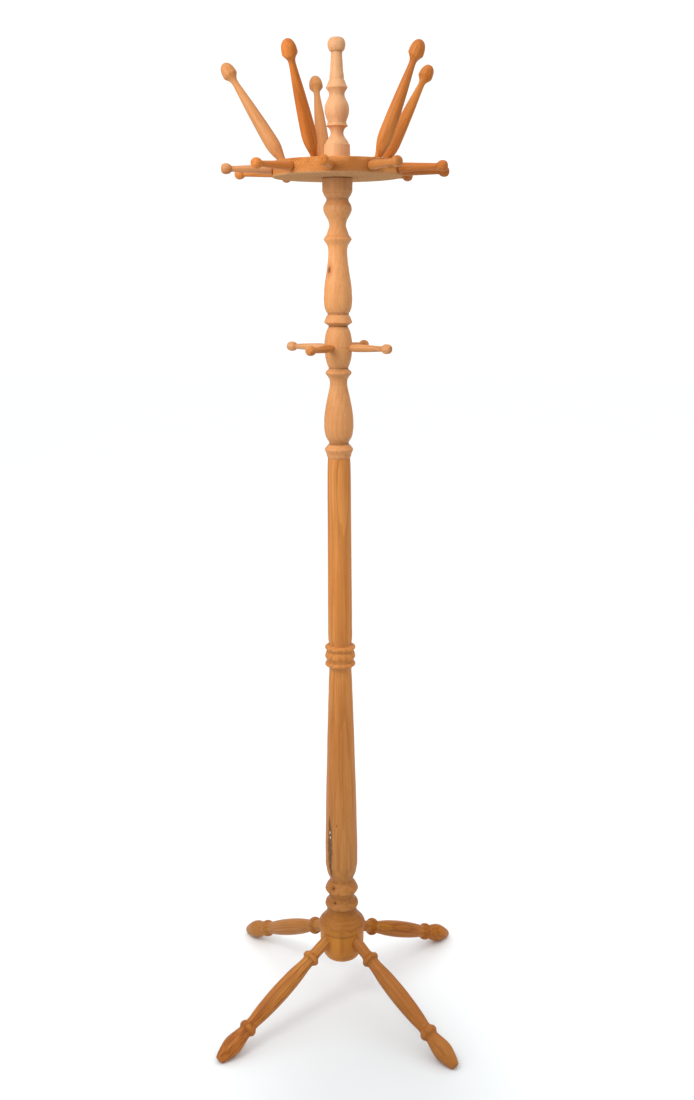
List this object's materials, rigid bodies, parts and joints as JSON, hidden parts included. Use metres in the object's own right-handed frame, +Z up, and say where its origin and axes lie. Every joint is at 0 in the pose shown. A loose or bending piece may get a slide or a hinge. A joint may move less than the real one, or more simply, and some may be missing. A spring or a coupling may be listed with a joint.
{
  "type": "coat rack",
  "caption": "Free-standing turned wooden coat rack: column on splayed legs, short pegs, and a revolving disc crown with rim pegs, long leaning pegs and a finial.",
  "frame": {"origin": "on the floor, on the column's axis, centred between the feet", "axes": "+Z up along the column, -Y towards the front, a leg towards each corner between the X and Y axes"},
  "size_m": [0.4582, 0.4582, 1.842],
  "materials": {
    "wood_leg": "clear satin lacquer on turned hardwood",
    "wood_hub": "clear satin lacquer on turned hardwood",
    "wood_shaft": "clear satin lacquer on turned hardwood",
    "wood_column": "clear satin lacquer on turned hardwood",
    "wood_disc": "clear satin lacquer on turned hardwood",
    "wood_peg": "clear satin lacquer on turned hardwood",
    "wood_finial": "clear satin lacquer on turned hardwood"
  },
  "bodies": {
    "stand": {"leg_front_right": "wood_leg", "leg_rear_right": "wood_leg", "leg_rear_left": "wood_leg", "leg_front_left": "wood_leg", "leg_hub": "wood_hub", "lower_column": "wood_shaft", "upper_column": "wood_column", "lower_peg_1": "wood_peg", "lower_peg_2": "wood_peg", "lower_peg_3": "wood_peg", "lower_peg_4": "wood_peg", "finial": "wood_finial"},
    "crown": {"crown_disc": "wood_disc", "rim_peg_1": "wood_peg", "rim_peg_2": "wood_peg", "rim_peg_3": "wood_peg", "rim_peg_4": "wood_peg", "rim_peg_5": "wood_peg", "rim_peg_6": "wood_peg", "rim_peg_7": "wood_peg", "rim_peg_8": "wood_peg", "rim_peg_9": "wood_peg", "rim_peg_10": "wood_peg", "long_peg_1": "wood_peg", "long_peg_2": "wood_peg", "long_peg_3": "wood_peg", "long_peg_4": "wood_peg", "long_peg_5": "wood_peg"}
  },
  "joints": [
    {"name": "crown_turn", "type": "hinge", "parent": "stand", "child": "crown", "pos_m": [0, 0, 1.6274], "axis": [0, 0, 1], "continuous": true}
  ]
}
